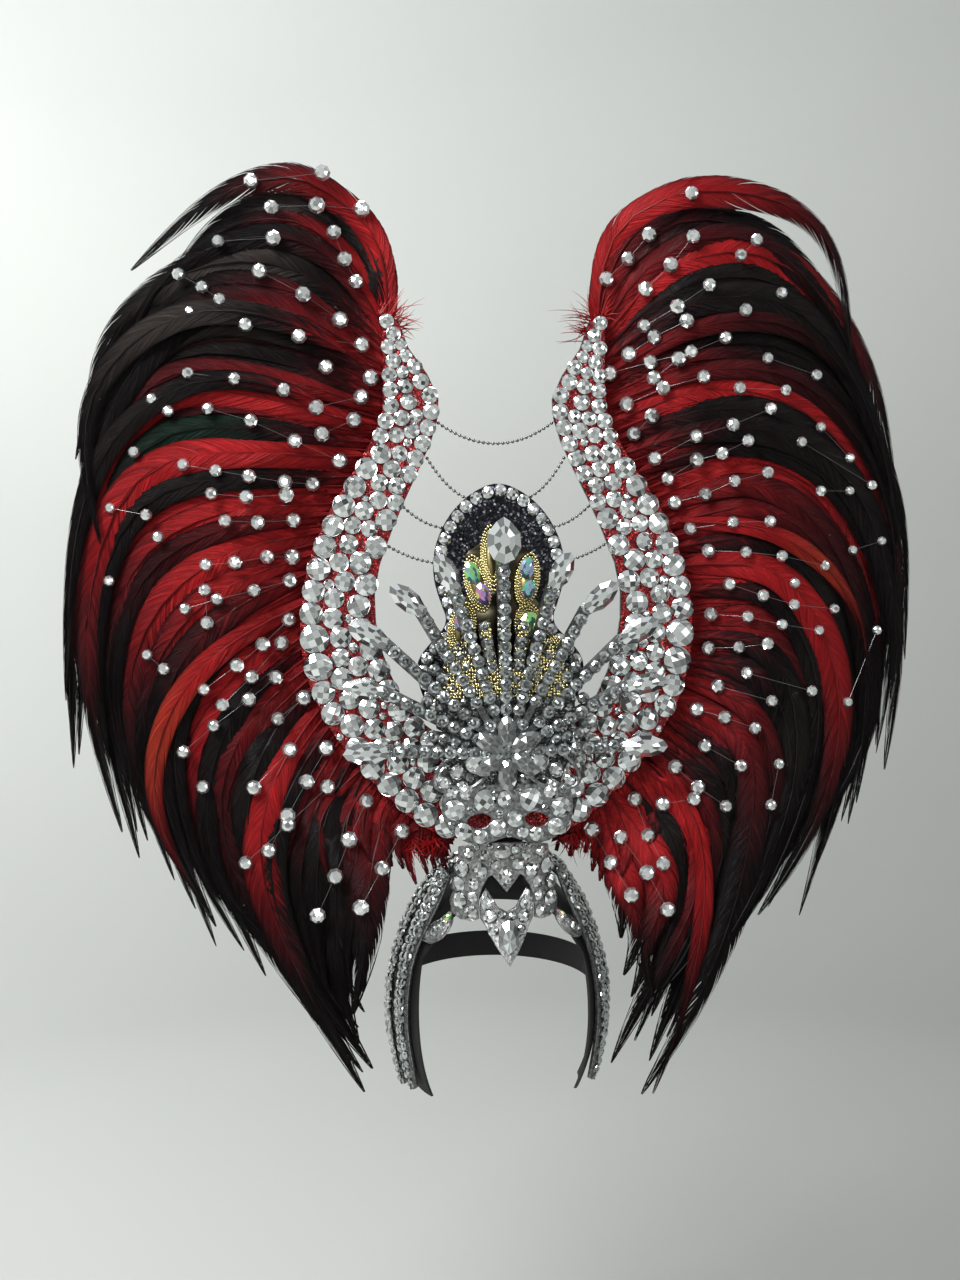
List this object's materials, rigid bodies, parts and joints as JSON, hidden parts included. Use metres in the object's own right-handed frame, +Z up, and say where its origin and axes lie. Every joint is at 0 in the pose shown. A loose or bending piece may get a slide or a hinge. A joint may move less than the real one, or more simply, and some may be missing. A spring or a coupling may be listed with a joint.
{
  "type": "carnival feather headdress",
  "caption": "Carnival headdress: stone-covered lyre panels with fans of red and black feathers, a medallion on chains and a spray of cut stones, on an open head cage.",
  "frame": {"origin": "top of the wearer's head, on the underside of the cage lining's crown", "axes": "+Z up through the top of the head, -Y the way the wearer looks, +X to the viewer's right seen from the front"},
  "size_m": [0.6479, 0.2051, 0.7078],
  "materials": {
    "stone_silver": "silver backed acrylic stones, cut and polished",
    "red_glitter": "red glitter foam",
    "black_glitter": "black glitter foam",
    "gold_bead": "gold bead embroidery",
    "black_felt": "black felt over foam",
    "feather_red": "dyed tail feathers, red to black",
    "chain_steel": "ball chain"
  },
  "bodies": {
    "root": {"back_strap": "black_felt", "base_ornament": "stone_silver", "brow_bridge": "stone_silver", "brow_pendant": "stone_silver", "cage_lining": "black_felt", "centre_teardrop": "stone_silver", "gold_ornament": "gold_bead", "hub_flower": "stone_silver", "left_chain_1": "chain_steel", "left_chain_2": "chain_steel", "left_chain_3": "chain_steel", "left_crest_feathers": "feather_red", "left_curl_leaf": "stone_silver", "left_fifth_navette": "stone_silver", "left_first_navette": "stone_silver", "left_fourth_navette": "stone_silver", "left_hanging_feathers": "feather_red", "left_inner_arm": "stone_silver", "left_lower_feathers": "feather_red", "left_outer_arm": "stone_silver", "left_panel": "red_glitter", "left_second_navette": "stone_silver", "left_shoulder_feathers": "feather_red", "left_side_feathers": "feather_red", "left_third_navette": "stone_silver", "medallion": "black_glitter", "right_chain_1": "chain_steel", "right_chain_2": "chain_steel", "right_chain_3": "chain_steel", "right_crest_feathers": "feather_red", "right_curl_leaf": "stone_silver", "right_fifth_navette": "stone_silver", "right_first_navette": "stone_silver", "right_fourth_navette": "stone_silver", "right_hanging_feathers": "feather_red", "right_inner_arm": "stone_silver", "right_lower_feathers": "feather_red", "right_outer_arm": "stone_silver", "right_panel": "red_glitter", "right_second_navette": "stone_silver", "right_shoulder_feathers": "feather_red", "right_side_feathers": "feather_red", "right_third_navette": "stone_silver", "spray": "stone_silver", "support_bracket": "black_felt", "top_chain": "chain_steel"}
  },
  "joints": []
}
